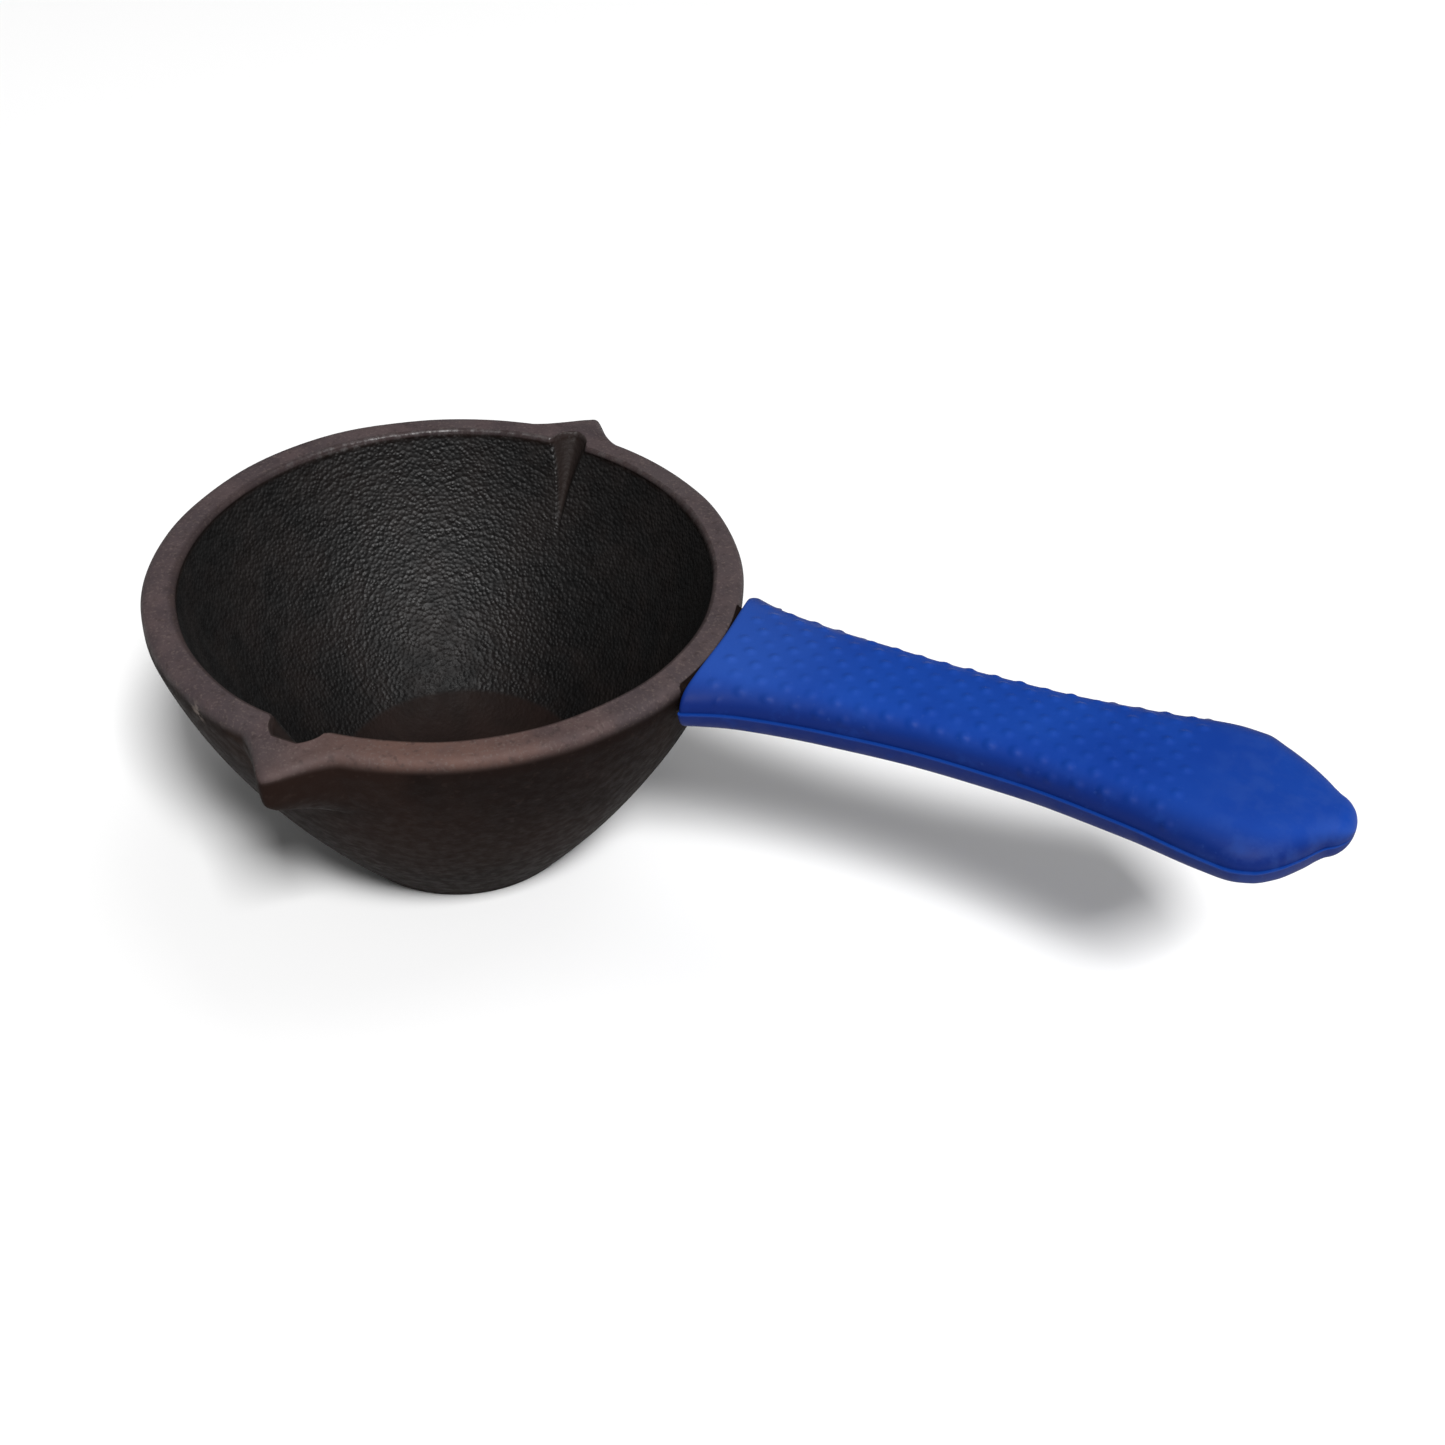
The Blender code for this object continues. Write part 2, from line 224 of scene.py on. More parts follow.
def outer_line():
    """(radius, depth) from the middle of the underside, up the outside, to the rim's top edge."""
    foot = bend((27.2, H - 2.6), (25.4, H - 0.1), (25.0, H), 12)
    edge = bend((RIM_R - RIM_EDGE, 0.0), (RIM_R, 0.0), (RIM_R, RIM_EDGE), 14)
    shoulder = bend((RIM_R, RIM_EDGE), (RIM_R, 4.2), (59.8, 5.4), 8)
    return edge, shoulder, foot


edge, shoulder, foot = outer_line()
outside = np.concatenate(
    [
        resample([(0.4, H), (25.0, H)], 22),
        foot[::-1][1:],
        resample(wall_curve(120)[::-1], 96)[1:],
        shoulder[::-1][1:],
        edge[::-1][1:],
    ]
)
rim_top = resample([(RIM_R - RIM_EDGE, 0.0), (RIM_IN + IN_EDGE, 0.0)], 14)[1:]
lip = bend((RIM_IN + IN_EDGE, 0.0), (RIM_IN, 0.0), (RIM_IN - 0.2 * IN_EDGE, IN_EDGE), 7)[1:]
inner_wall = resample(bend((RIM_IN - 0.2 * IN_EDGE, IN_EDGE), (45.4, 34.3), (26.4, 51.6), 200), 176)[1:]
turn = 26.4 - 1.15 * (57.2 - 51.6)
floor = resample(
    np.concatenate([bend((26.4, 51.6), (turn, 57.2), (12.0, 57.2), 60), [(0.4, 57.2)]]), 78
)[1:]
profile = np.concatenate([outside, rim_top, lip, inner_wall, floor])
zone = np.concatenate(
    [
        np.zeros(len(outside)),
        np.ones(len(rim_top)),
        np.full(len(lip), 2),
        np.full(len(inner_wall), 3),
        np.full(len(floor), 4),
    ]
)
wall_dense = np.concatenate([edge, shoulder[1:], wall_curve(200)[1:]])
inner_dense = bend((RIM_IN - 0.2 * IN_EDGE, IN_EDGE), (45.4, 34.3), (26.4, 51.6), 200)


def wall_at(depth):
    return np.interp(depth, wall_dense[:, 1], wall_dense[:, 0])


tip_at = through(
    (
        (0.0, TIP_R - 4.2),
        (0.5, TIP_R - 2.1),
        (1.2, TIP_R - 0.8),
        (2.4, TIP_R),
        (STRAIGHT, TIP_R - 0.7),
        (STRAIGHT + 2.6, TIP_R - 2.6),
        (STRAIGHT + 5.6, TIP_R - 6.6),
        (SPOUT_D, 57.0),
    )
)


def angles():
    """Angles round the bowl, closer together at the spouts."""
    fine, coarse = 0.21, 0.42
    a = []
    t = 0.0
    while t < 360.0 - 1e-6:
        near = min(abs(t - 90.0), abs(t - 270.0))
        a.append(t)
        t += fine if near < 12.0 else coarse
    a = np.array(a)
    return np.radians(a * 360.0 / (a[-1] + coarse))


def bowl():
    theta = angles()
    n = len(theta)
    r = np.repeat(profile[:, 0][:, None], n, 1)
    d = np.repeat(profile[:, 1][:, None], n, 1)
    zn = np.repeat(zone[:, None], n, 1)
    t = np.repeat(theta[None, :], len(profile), 0)
    x, y = r * np.cos(t), r * np.sin(t)
    side = np.sign(y)
    ay = np.abs(y)

    near_side = y < 0
    place = np.where(near_side, NEAR_SPOUT[0], FAR_SPOUT[0])
    wide = np.where(near_side, NEAR_SPOUT[1], FAR_SPOUT[1])
    far_out = np.where(near_side, NEAR_SPOUT[2], FAR_SPOUT[2])
    # prow: the flanks run out of the wall along Y
    u = np.clip(np.abs(x - place * 0.4) / SPOUT_W, 0, 1)
    round_tip = np.sqrt(u * u + 0.018) / sqrt(1.018)
    share = np.clip(1 - round_tip, 0, 1) ** 1.5 / (1 - sqrt(0.018) / sqrt(1.018)) ** 1.5
    share *= np.where(u < 1, 1, 0)
    reach = np.clip(tip_at(np.clip(d, 0, SPOUT_D)) - wall_at(np.clip(d, 0.0, SPOUT_D)), 0, None)
    reach = np.where(d >= SPOUT_D, 0, reach)
    outer = (zn == 0) & (ay > 20)
    shift_out = reach * share
    # the flat top of the rim stretches out to the prow, and dips towards the tip
    top = zn == 1
    q = np.clip((r - (RIM_IN + IN_EDGE)) / (RIM_R - RIM_EDGE - RIM_IN - IN_EDGE), 0, 1)

    # groove: a narrowing channel, its sides meeting the wall in a crisp edge
    left = np.clip(GROOVE_D - d, 0, None) / GROOVE_D
    rho = wide * (0.24 * left + 0.76 * left**3.2) + 0.02
    centre = far_out - 0.566 * d - rho
    across = np.abs(x - place * (0.4 + 0.6 * left))
    m = np.clip(across / rho, 0, 1)
    cone = centre + rho * (1 - m**1.6) ** (1 / 1.6)
    soft = 0.16 + 0.35 * smooth(3.0, 20.0, d)
    gain = cone - ay
    lift = soft * np.log1p(np.exp(np.clip(gain / soft, -30, 30)))
    fade = smooth(GROOVE_D - 2.0, GROOVE_D - 14.0, d)
    near = (across < wide * 1.35) & (ay > 30)
    lift = np.where(near, lift * fade * smooth(rho * 1.2 + 0.25, rho * 0.97, across), 0)

    across0 = np.abs(x - place)
    m0 = np.clip(across0 / wide, 0, 1)
    cone0 = far_out - wide + wide * (1 - m0**1.6) ** (1 / 1.6)
    in_edge = RIM_IN + IN_EDGE
    y_edge = np.sqrt(np.clip(in_edge**2 - x**2, 0, None))
    gain0 = cone0 + 0.4 - y_edge
    lift0 = soft * np.log1p(np.exp(np.clip(gain0 / soft, -30, 30)))
    lift0 = lift0 * smooth(wide * 1.16, wide * 0.98, across0) * (ay > 30)
    reach0 = tip_at(0.0) - (RIM_R - RIM_EDGE)
    shift = np.where(outer, shift_out, 0.0)
    shift = np.where(top, (1 - q) * lift0 + q * reach0 * share, shift)
    shift = np.where(zn == 2, lift0 * 0.5 + lift * 0.5, shift)
    shift = np.where(zn == 3, lift, shift)
    shift = np.where(ay > 20, shift, 0.0)
    y = y + side * shift
    dip = np.where(top | (outer & (d < 3.0)), 1.1 * share * np.where(top, q**1.4, 1.0), 0.0)
    dip = dip * smooth(3.0, 1.0, d)
    # the left of the casting is a little fuller, and no rim is a perfect circle
    fuller = 0.8 * smooth(-0.35, -0.95, np.cos(t)) * smooth(26.0, 52.0, r) * ((zn == 0) | (zn == 1))
    uneven = 0.16 * np.sin(3 * t + 0.7) + 0.10 * np.sin(7 * t + 2.0) + 0.06 * np.sin(16 * t)
    fuller = fuller + uneven * smooth(RIM_IN - 3, RIM_IN, r) * np.where(zn == 0, smooth(6.0, 2.0, d), (zn < 3) * 1.0)
    x = x + np.cos(t) * fuller
    y = y + np.sin(t) * fuller
    # a broad swell of the wall into each spout
    swell = 0.55 * np.exp(-((x / 15.0) ** 2)) * smooth(1.0, 6.0, d) * smooth(26.0, 12.0, d)
    swell = np.where(outer & (ay > 35), swell, 0.0)
    y = y + side * swell
    z = H - d - dip

    points = np.stack([x, y, z], -1)
    # normals by finite differences, for the pebbles
    du = np.roll(points, -1, 1) - np.roll(points, 1, 1)
    dv = np.gradient(points, axis=0)
    normal = np.cross(du, dv)
    length = np.linalg.norm(normal, axis=-1, keepdims=True)
    normal = normal / np.where(length > 1e-9, length, 1)
    flat = points.reshape(-1, 3)
    inside = smooth(0.6, 2.2, d) * ((zn == 3) | (zn == 2) | (zn == 4))
    pebble = np.zeros(len(flat))
    pick = inside.ravel() > 0
    p = flat[pick]
    warp = np.stack([lattice_noise(p / 2.6, 5), lattice_noise(p / 2.6, 6), lattice_noise(p / 2.6, 8)], 1)
    bumps = cell_bumps(p / 1.08 + warp * 0.16, 11)
    fine = lattice_noise(p / 0.62, 21)
    pebble[pick] = 0.020 * bumps + 0.008 * fine
    floor_zone = smooth(26.9, 25.9, r) * (zn >= 3)
    groove_floor = smooth(0.15, 1.0, np.where(zn >= 2, lift, 0))
    amount = inside * (1 - 0.6 * floor_zone) * (1 - groove_floor)
    amount = amount * smooth(1.0, 7.0, r)
    outer_amount = ((zn == 0) | (zn == 1)) * smooth(1.0, 7.0, r)
    sand = 0.008 * lattice_noise(flat / 0.9, 31) + 0.035 * lattice_noise(flat / 9.0, 33)
    resting = smooth(H - 0.3, H - 2.5, d) + (zn > 0)
    offset = pebble.reshape(d.shape) * amount + sand.reshape(d.shape) * outer_amount * np.clip(resting, 0, 1)
    # the casting's outward side is where the normal points away from the iron
    points = points + normal * offset[..., None]
    rimness = np.where(zn == 1, 1.0, 0.0) + np.where(zn == 0, smooth(3.4, 0.7, d), 0) + np.where(zn == 2, 0.55, 0)
    attributes = {
        "rimness": np.clip(rimness, 0, 1),
        "inside": np.clip(inside, 0, 1),
        "floorness": floor_zone,
        "grooveness": groove_floor,
        "lip": ((zn == 2) * 1.0 + (zn == 3) * smooth(2.2, 0.9, d)) * smooth(10.0, 30.0, y),
    }
    return points, attributes


def tang_half_width(x):
    full = TANG_W[-1][1]
    centre = TANG_END - full
    x = np.asarray(x, float)
    return np.where(
        x <= TANG_W[-1][0],
        through(TANG_W)(x),
        np.where(x <= centre, full, np.sqrt(np.clip(full**2 - (x - centre) ** 2, 0, None))),
    )


def bar_points(grow, start, edge_radius, count=44, follow=None):
    """Rings of a flat bar with rounded edges along the tang, grown all round."""
    full = TANG_W[-1][1]
    centre = TANG_END - full
    xs = np.concatenate(
        [
            np.linspace(start, centre, 90),
            centre + (full + grow) * np.sin(np.linspace(0, pi / 2, 26)[1:]),
        ]
    )
    half = TANG_T / 2 + grow
    e = edge_radius
    rings = []
    for x in xs:
        w = float(tang_half_width(x)) + grow if x <= centre else sqrt(
            max((full + grow) ** 2 - (x - centre) ** 2, 0)
        )
        w = max(w, 0.05)
        k = min(e, w * 0.98)
        h = half
        corner = []
        for cy, cz, a0 in ((w - k, h - e, 0), (-(w - k), h - e, 1), (-(w - k), -(h - e), 2), (w - k, -(h - e), 3)):
            for a in np.linspace(0, pi / 2, count // 4):
                b = a + a0 * pi / 2
                corner.append((cy + k * cos(b), cz + e * sin(b)))
        ring = np.array(corner)
        rings.append(np.stack([np.full(len(ring), x), ring[:, 0], H - TANG_MID + ring[:, 1]], 1))
    rings = np.array(rings)
    if follow:  # the buried end follows the bowl's wall
        arc = np.sqrt(follow**2 - rings[..., 1] ** 2)
        rings[..., 0] += (arc - start) * np.clip((start + 8.5 - rings[..., 0]) / 8.5, 0, 1)
    return rings


def make_pot():
    points, attributes = bowl()
    pot = face_out(grid_mesh("cast_iron_pot_casting", points, True, attributes))
    bar = bar_points(0.0, TANG_START, 1.6, follow=57.2)
    zero = np.zeros(bar.shape[:2])
    tang = face_out(
        grid_mesh(
            "tang",
            bar,
            True,
            {"rimness": zero + 0.0, "inside": zero, "floorness": zero, "grooveness": zero, "lip": zero},
        )
    )
    return carve(pot, tang, "UNION")


# ---------------------------------------------------------------- the sleeve
WIDTHS = ((48.0, 25.0), (60.0, 19.2), (71.0, 15.0), (86.0, 12.6), (106.0, 11.3), (124.0, 12.0), (145.0, 15.0))
far_width = through(
    ((48.0, 25.4), (60.0, 20.0), (71.0, 16.3), (86.0, 14.1), (106.0, 12.8), (124.0, 13.2), (145.0, 15.6))
    + ((160.0, 18.0), (163.5, 18.0), (168.0, 15.9), (173.0, 12.5), (176.5, 9.6), (178.6, 7.5), (180.0, 6.3), (182.0, 5.6))
)
near_width = through(
    WIDTHS
    + ((160.0, 18.4), (165.0, 19.1), (169.0, 18.2), (173.0, 15.2), (176.5, 10.9), (178.6, 7.8), (180.0, 6.3), (182.0, 5.6))
)
roundness = through(((58.0, 1.0), (72.0, 0.72), (96.0, 0.5), (158.0, 0.5), (168.0, 0.74), (178.0, 0.9)))
crown_top = through(((48.0, TOP), (150.0, TOP), (172.0, 1.9), (179.0, 0.9), (184.0, 0.4)))
low_depth = through(((48.0, BOTTOM), (162.0, BOTTOM), (172.0, 8.9), (177.0, 7.9), (180.0, 7.1), (184.0, 6.9)))
UPPER, LOWER = 150, 90
DOT_PITCH, DOT_ROW, DOT_R, DOT_H = 5.0, 3.4, 1.6, 0.39


def sleeve_section(x):
    """One section of the sleeve, as (y, z relative to the rim top), starting at the +Y seam."""
    wf, wn = float(far_width(x)), float(near_width(x))
    power = float(roundness(x))
    top, low = float(crown_top(x)), -float(low_depth(x))
    seam = -SEAM
    if x > 179.8:  # the nub closes like half an ellipsoid
        k = sqrt(max(1 - ((x - 179.8) / (TIP_X - 179.8)) ** 2, 0.0004))
        wf, wn = wf * k, wn * k
        mid = (top + low) / 2
        top, low = mid + (top - mid) * k, mid + (low - mid) * k
        seam = mid + (seam - mid) * k
    step = 0.6 * min(1.0, min(wf, wn) / 9.0)
    a = np.linspace(0, pi, 420)
    c, s = np.cos(a), np.sin(a)
    upper = np.stack(
        [np.sign(c) * np.where(c > 0, wf, wn) * np.abs(c) ** power, seam + (top - seam) * np.clip(s, 0, 1) ** 0.78], 1
    )
    # the lower half: a small ledge, a flank that leans in, a rounded bottom edge
    b = np.linspace(0, pi, 420)
    cb, sb = np.cos(b), np.sin(b)
    depth = (seam - low) * np.clip(sb, 0, 1) ** 0.42
    lean = 1 - 0.11 * np.clip(depth / max(seam - low, 0.1), 0, 1) ** 1.3
    lower = np.stack([-np.sign(cb) * (np.where(cb < 0, wf, wn) + step) * np.abs(cb) ** 0.30 * lean, seam - depth], 1)
    return resample(upper, UPPER), resample(lower, LOWER)


def dot_height(x, s, crown_half):
    """Height of the raised dots at distance x along the sleeve and s round from its middle line."""
    row = np.round(s / DOT_ROW)
    best = np.zeros_like(x)
    for dr in (-1, 0, 1):
        k = row + dr
        shift = np.where(np.mod(k, 2) == 0, 0.0, 0.5)
        cx = (np.round(x / DOT_PITCH - shift) + shift) * DOT_PITCH
        cs = k * DOT_ROW
        dist = np.sqrt((x - cx) ** 2 + (s - cs) ** 2) / DOT_R
        worn = 0.55 + 0.45 * hashed(np.round(cx * 2), k, k * 0, 3)
        start = 63.2 + 0.12 * np.abs(cs)
        keep = (cx > start) & (cx < 154.0) & (np.abs(cs) < crown_half)
        profile_of = 0.5 + 0.5 * np.cos(pi * np.clip(dist, 0, 1))
        best = np.maximum(best, np.where(keep, profile_of * worn, 0))
    return DOT_H * best


def make_sleeve():
    e = 0.9
    xs = [MOUTH_X + e * (1 - cos(a)) for a in np.linspace(0, pi / 2, 7)]
    inset = [e * (1 - sin(a)) for a in np.linspace(0, pi / 2, 7)]
    body = list(np.linspace(MOUTH_X + e, 179.8, 330)[1:])
    nub = [179.8 + (TIP_X - 179.8) * sin(a) for a in np.linspace(0, pi / 2, 26)[1:]]
    xs = xs + body + nub
    inset = inset + [0.0] * (len(body) + len(nub))
    rings, dots, fin, ledge = [], [], [], []
    for x, i in zip(xs, inset):
        upper, lower = sleeve_section(x)
        # arclength from the crown's middle line
        step = np.concatenate([[0], np.cumsum(np.sqrt((np.diff(upper, axis=0) ** 2).sum(1)))])
        s = step - step[-1] / 2
        if i > 0:
            mid = np.array([0.0, -SEAM + 0.4])
            for line in (upper, lower):
                away = line - mid
                length = np.maximum(np.linalg.norm(away, axis=1, keepdims=True), 1e-6)
                line -= away / length * i
        ring = np.concatenate([upper, lower])
        half = step[-1] / 2
        h = np.concatenate([dot_height(np.full(len(s), x), s, half - 2.6), np.zeros(len(lower))])
        mark = np.zeros(len(ring))
        mark[[0, UPPER - 1, UPPER, -1]] = 1.0
        ledge.append(mark)
        dots.append(h)
        fin.append(np.concatenate([np.abs(s) / half, np.full(len(lower), 2.0)]))
        rings.append(np.stack([np.full(len(ring), x), ring[:, 0], H + ring[:, 1]], 1))
    points = np.array(rings)
    # the mouth is an arc, flatter than the rim
    arc = MOUTH_X - MOUTH_R + np.sqrt(MOUTH_R**2 - points[..., 1] ** 2) - MOUTH_X
    corner = np.where(points[..., 1] > 0, 1.3, 0.4) * smooth(0.80, 1.02, np.abs(points[..., 1]) / 18.8) ** 1.5
    points[..., 0] += (arc + corner) * smooth(MOUTH_X + 20.0, MOUTH_X, points[..., 0])
    du = np.roll(points, -1, 1) - np.roll(points, 1, 1)
    dv = np.gradient(points, axis=0)
    normal = np.cross(du, dv)
    normal /= np.maximum(np.linalg.norm(normal, axis=-1, keepdims=True), 1e-9)
    outward = np.einsum("ijk,ijk->ij", normal, points - points.mean(1, keepdims=True))
    if np.median(outward[20:300]) < 0:
        normal = -normal
    dots = np.array(dots)
    flat = points.reshape(-1, 3)
    ripple = 0.05 * lattice_noise(flat / np.array([14.0, 9.0, 9.0]), 41).reshape(dots.shape)
    ripple = ripple * smooth(MOUTH_X, MOUTH_X + 6, points[..., 0]) * smooth(TIP_X - 1, TIP_X - 8, points[..., 0])
    points = points + normal * (dots + ripple)[..., None]
    attributes = {"dot": dots / DOT_H, "round": np.array(fin), "ledge": np.array(ledge)}
    sleeve = face_out(grid_mesh("silicone_handle_grip", points, True, attributes))
    cavity = bar_points(GAP, TANG_START - 4.0, 1.6 + GAP)
    zero = np.zeros(cavity.shape[:2])
    hollow = face_out(grid_mesh("cavity", cavity, True, {"dot": zero, "round": zero + 1, "ledge": zero}))
    return carve(sleeve, hollow, "DIFFERENCE")


# ---------------------------------------------------------------- materials
class Nodes:
    """A short way to build one node material."""

    def __init__(self, name):
        self.material = bpy.data.materials.new(name)
        self.material.use_nodes = True
        self.tree = self.material.node_tree
        self.shader = self.tree.nodes["Principled BSDF"]
        self.where = self.tree.nodes.new("ShaderNodeTexCoord").outputs["Object"]

    def link(self, a, b):
        self.tree.links.new(a, b)

    def attribute(self, name):
        node = self.tree.nodes.new("ShaderNodeAttribute")
        node.attribute_name = name
        return node.outputs["Fac"]

    def put(self, socket, value):
        if isinstance(value, bpy.types.NodeSocket):
            self.link(value, socket)
        elif isinstance(value, tuple):
            socket.default_value = (*value, 1.0) if len(value) == 3 and socket.type == "RGBA" else value
        else:
            socket.default_value = value

    def axis(self, index):
        node = self.tree.nodes.new("ShaderNodeSeparateXYZ")
        self.link(self.where, node.inputs[0])
        return node.outputs[index]

    def noise(self, scale, detail=3.0, rough=0.55, stretch=None, distort=0.0):
        node = self.tree.nodes.new("ShaderNodeTexNoise")
        node.inputs["Scale"].default_value = scale
        node.inputs["Detail"].default_value = detail
        node.inputs["Roughness"].default_value = rough
        node.inputs["Distortion"].default_value = distort
        where = self.where
        if stretch:
            mapping = self.tree.nodes.new("ShaderNodeMapping")
            mapping.inputs["Scale"].default_value = stretch
            self.link(where, mapping.inputs["Vector"])
            where = mapping.outputs["Vector"]
        self.link(where, node.inputs["Vector"])
        return node.outputs["Fac"]

    def cells(self, scale, feature="F1", smoothness=None):
        node = self.tree.nodes.new("ShaderNodeTexVoronoi")
        node.feature = feature
        node.inputs["Scale"].default_value = scale
        if smoothness is not None and feature == "SMOOTH_F1":
            node.inputs["Smoothness"].default_value = smoothness
        self.link(self.where, node.inputs["Vector"])
        return node.outputs["Distance"]

    def ramp(self, value, low, high, a=0.0, b=1.0):
        node = self.tree.nodes.new("ShaderNodeMapRange")
        node.interpolation_type = "SMOOTHSTEP"
        node.inputs["From Min"].default_value = low
        node.inputs["From Max"].default_value = high
        node.inputs["To Min"].default_value = a
        node.inputs["To Max"].default_value = b
        self.put(node.inputs["Value"], value)
        return node.outputs["Result"]

    def math(self, operation, a, b=0.0, clamp=False):
        node = self.tree.nodes.new("ShaderNodeMath")
        node.operation = operation
        node.use_clamp = clamp
        self.put(node.inputs[0], a)
        self.put(node.inputs[1], b)
        return node.outputs["Value"]

    def mix(self, factor, a, b):
        node = self.tree.nodes.new("ShaderNodeMix")
        node.data_type = "RGBA"
        self.put(node.inputs["Factor"], factor)
        self.put(node.inputs[6], a)
        self.put(node.inputs[7], b)
        return node.outputs[2]

    def near(self, point, radius):
        """1 at a point of the object, falling to 0 at radius, in millimetres."""
        node = self.tree.nodes.new("ShaderNodeVectorMath")
        node.operation = "DISTANCE"
        self.link(self.where, node.inputs[0])
        node.inputs[1].default_value = tuple(v * MM for v in point)
        return self.ramp(node.outputs["Value"], 0.0, radius * MM, 1.0, 0.0)

    def bump(self, height, distance, strength=1.0, normal=None):
        node = self.tree.nodes.new("ShaderNodeBump")
        node.inputs["Distance"].default_value = distance
        node.inputs["Strength"].default_value = strength
        self.put(node.inputs["Height"], height)
        if normal is not None:
            self.link(normal, node.inputs["Normal"])
        return node.outputs["Normal"]


def iron_material():
    n = Nodes("seasoned_cast_iron")
    rim, inside = n.attribute("rimness"), n.attribute("inside")
    floor_part, groove = n.attribute("floorness"), n.attribute("grooveness")
    mottle = n.noise(90.0, 4.0, 0.6)
    blotch = n.noise(26.0, 3.0, 0.55, distort=0.6)
    grit = n.noise(1500.0, 3.0, 0.65)
    speck = n.noise(620.0, 2.0, 0.5)

    outer = n.mix(n.ramp(blotch, 0.35, 0.68), (0.0068, 0.0040, 0.0034), (0.0120, 0.0064, 0.0050))
    outer = n.mix(n.ramp(speck, 0.58, 0.74, 0.0, 0.25), outer, (0.026, 0.017, 0.014))
    rim_col = n.mix(n.ramp(mottle, 0.36, 0.66), (0.046, 0.034, 0.037), (0.068, 0.048, 0.049))
    rim_col = n.mix(n.ramp(blotch, 0.42, 0.70), rim_col, (0.056, 0.044, 0.046))
    front = n.ramp(n.axis(1), -0.020, -0.055)
    rim_col = n.mix(n.math("MULTIPLY", n.math("MULTIPLY", front, n.ramp(n.axis(0), -0.012, 0.022)), n.ramp(mottle, 0.25, 0.60, 0.45, 1.0)), rim_col, (0.098, 0.055, 0.045))
    rim_col = n.mix(n.ramp(n.axis(0), 0.038, 0.060, 0.0, 0.25), rim_col, (0.052, 0.043, 0.044))
    rim_col = n.mix(n.ramp(grit, 0.52, 0.70, 0.0, 0.55), rim_col, (0.115, 0.088, 0.080))
    rim_col = n.mix(n.ramp(speck, 0.56, 0.72, 0.0, 0.40), rim_col, (0.026, 0.018, 0.017))
    # painted shade: the outer wall is darker towards the floor
    outer = n.mix(n.ramp(n.axis(2), 0.004, 0.042, 0.6, 0.0), outer, (0.0038, 0.0018, 0.0013))
    rim_edge = n.math("MULTIPLY", rim, n.ramp(n.noise(240.0, 3.0, 0.6), 0.2, 0.6, 0.86, 1.0))
    colour = n.mix(rim_edge, outer, rim_col)
    black = n.mix(n.ramp(mottle, 0.35, 0.70), (0.0030, 0.0027, 0.0028), (0.0070, 0.0050, 0.0046))
    colour = n.mix(inside, colour, black)
    brown = n.mix(n.ramp(mottle, 0.3, 0.7), (0.0078, 0.0048, 0.0041), (0.0118, 0.0070, 0.0059))
    colour = n.mix(n.math("MULTIPLY", floor_part, 0.9), colour, brown)
    colour = n.mix(n.math("MULTIPLY", groove, 0.75), colour, (0.020, 0.0135, 0.0120))
    chip = n.math("MULTIPLY", n.near((-23.0, -56.0, H - 3.4), 3.2), n.ramp(n.noise(500.0, 3.0, 0.6), 0.45, 0.60))
    colour = n.mix(n.math("MULTIPLY", chip, 0.6), colour, (0.23, 0.19, 0.17))
    # tan rust under the rim on the near left, and rubbed marks
    rust_place = n.math(
        "MAXIMUM",
        n.math("MULTIPLY", n.near((-13.0, -63.0, H - 9.0), 11.0), 0.35),
        n.near((-48.0, -34.0, H - 9.0), 22.0),
    )
    rust = n.math(
        "MULTIPLY",
        n.math("MULTIPLY", rust_place, n.ramp(n.noise(300.0, 5.0, 0.65, distort=0.5), 0.36, 0.70)),
        n.math("SUBTRACT", 1.0, n.math("ADD", inside, rim), clamp=True),
    )
    colour = n.mix(n.math("MULTIPLY", rust, 0.42), colour, (0.082, 0.050, 0.031))
    n.link(colour, n.shader.inputs["Base Color"])

    rough_out = n.ramp(n.noise(420.0, 4.0, 0.6), 0.3, 0.7, 0.58, 0.76)
    rough_in = n.ramp(n.noise(300.0, 4.0, 0.6), 0.3, 0.7, 0.48, 0.64)
    rough = n.tree.nodes.new("ShaderNodeMix")
    n.put(rough.inputs["Factor"], n.math("MULTIPLY", inside, n.math("SUBTRACT", 1.0, n.math("MULTIPLY", n.math("MAXIMUM", floor_part, groove), 0.55))))
    n.put(rough.inputs[2], rough_out)
    n.put(rough.inputs[3], rough_in)
    n.link(n.math("SUBTRACT", rough.outputs[0], n.math("MULTIPLY", n.attribute("lip"), 0.22)), n.shader.inputs["Roughness"])
    shine = n.math("MULTIPLY", inside, n.math("SUBTRACT", 0.40, n.math("MULTIPLY", n.math("MAXIMUM", floor_part, groove), 0.27)))
    shine = n.math("MULTIPLY", shine, n.ramp(n.axis(2), 0.010, 0.050, 0.30, 1.10))
    shine = n.math("ADD", shine, n.math("MULTIPLY", rim, 0.13))
    n.link(n.math("ADD", n.math("ADD", shine, n.math("MULTIPLY", n.math("MULTIPLY", n.attribute("lip"), n.ramp(n.noise(520.0, 3.0, 0.6), 0.42, 0.62)), 0.6)), 0.025), n.shader.inputs["Specular IOR Level"])
    n.shader.inputs["Metallic"].default_value = 0.0

    sand = n.math("ADD", n.math("MULTIPLY", grit, 0.45), n.math("MULTIPLY", n.noise(700.0, 2.0, 0.5), 0.7))
    height = n.math("ADD", n.math("MULTIPLY", sand, n.math("ADD", n.math("MULTIPLY", inside, 0.45), 0.55)), n.math("MULTIPLY", n.cells(1180.0, "SMOOTH_F1", 0.4), n.math("MULTIPLY", inside, n.math("SUBTRACT", n.math("MULTIPLY", n.math("MAXIMUM", floor_part, groove), 1.2), 1.6))))
    n.link(n.bump(height, 0.00020, 0.85), n.shader.inputs["Normal"])
    return n.material


